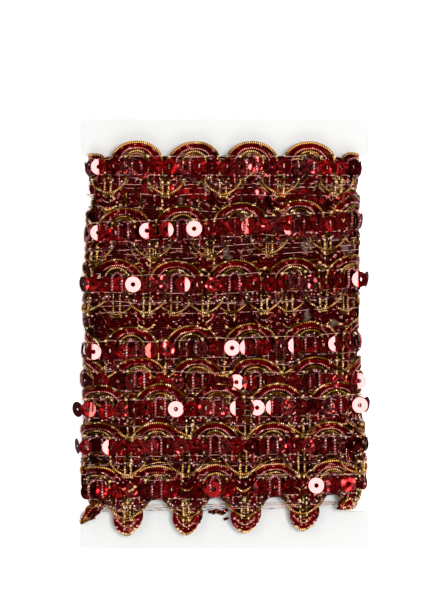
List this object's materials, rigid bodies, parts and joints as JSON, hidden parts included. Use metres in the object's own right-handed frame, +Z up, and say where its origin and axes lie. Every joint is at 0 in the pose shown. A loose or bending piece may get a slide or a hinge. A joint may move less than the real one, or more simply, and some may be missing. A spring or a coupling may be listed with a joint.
{
  "type": "sequin trim wound on a card",
  "caption": "Arched gimp braid trim with a row of sequins, wound flat in shingled turns round an H-shaped display card.",
  "frame": {"origin": "under the middle of the card, on the surface that the winding's back rests on", "axes": "+Z up, out of the front of the card; +Y along the card, towards the end where the trim's arches point; +X across the card"},
  "size_m": [0.1086, 0.1614, 0.0154],
  "materials": {
    "card": "matt coated white",
    "trim": "burgundy and gold metallised gimp cords with burgundy foil sequins"
  },
  "bodies": {
    "root": {"card": "card", "wound_trim": "trim"}
  },
  "joints": []
}
